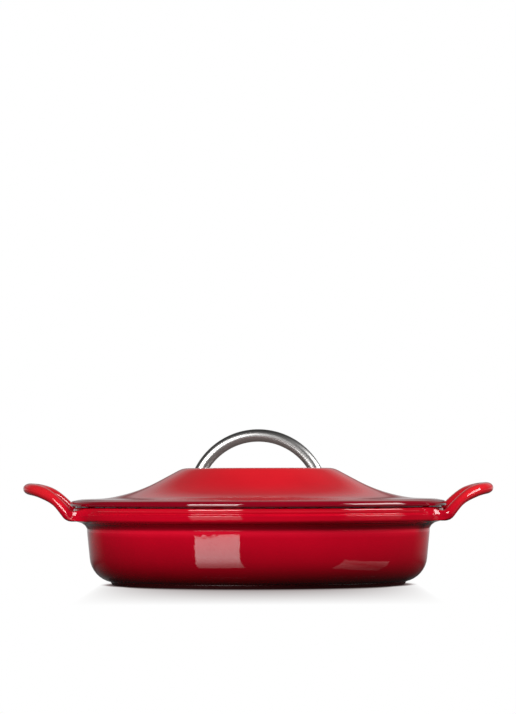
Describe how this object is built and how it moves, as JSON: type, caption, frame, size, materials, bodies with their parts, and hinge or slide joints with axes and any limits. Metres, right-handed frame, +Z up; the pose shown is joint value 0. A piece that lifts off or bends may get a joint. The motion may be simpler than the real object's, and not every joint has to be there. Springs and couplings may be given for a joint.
{
  "type": "lidded cast iron pan",
  "caption": "Shallow round enamelled cast iron pan with upturned loop handles and a lift-off ogee lid with a bent steel arch handle.",
  "frame": {"origin": "centre of the base, on the surface that the pan stands on", "axes": "+Z up, the way the lid lifts off; +X through the two loop handles of the pan"},
  "size_m": [0.3754, 0.3004, 0.124],
  "materials": {
    "red_enamel": "glossy vitreous enamel, bright red that deepens towards the foot; satin black enamel inside",
    "handle_steel": "satin stainless steel",
    "fastener_steel": "plain stainless steel",
    "seal": "matt black heat-proof silicone"
  },
  "bodies": {
    "pan": {"pan_body": "red_enamel"},
    "lid": {"lid": "red_enamel", "lid_handle": "handle_steel", "handle_screw_left": "fastener_steel", "handle_screw_right": "fastener_steel", "handle_lock_washer_left": "fastener_steel", "handle_lock_washer_right": "fastener_steel", "handle_washer_left": "fastener_steel", "handle_washer_right": "fastener_steel", "handle_gasket_left": "seal", "handle_gasket_right": "seal"}
  },
  "joints": [
    {"name": "lid_lift", "type": "slide", "parent": "pan", "child": "lid", "axis": [0, 0, 1], "range_m": [0, 0.15]}
  ]
}
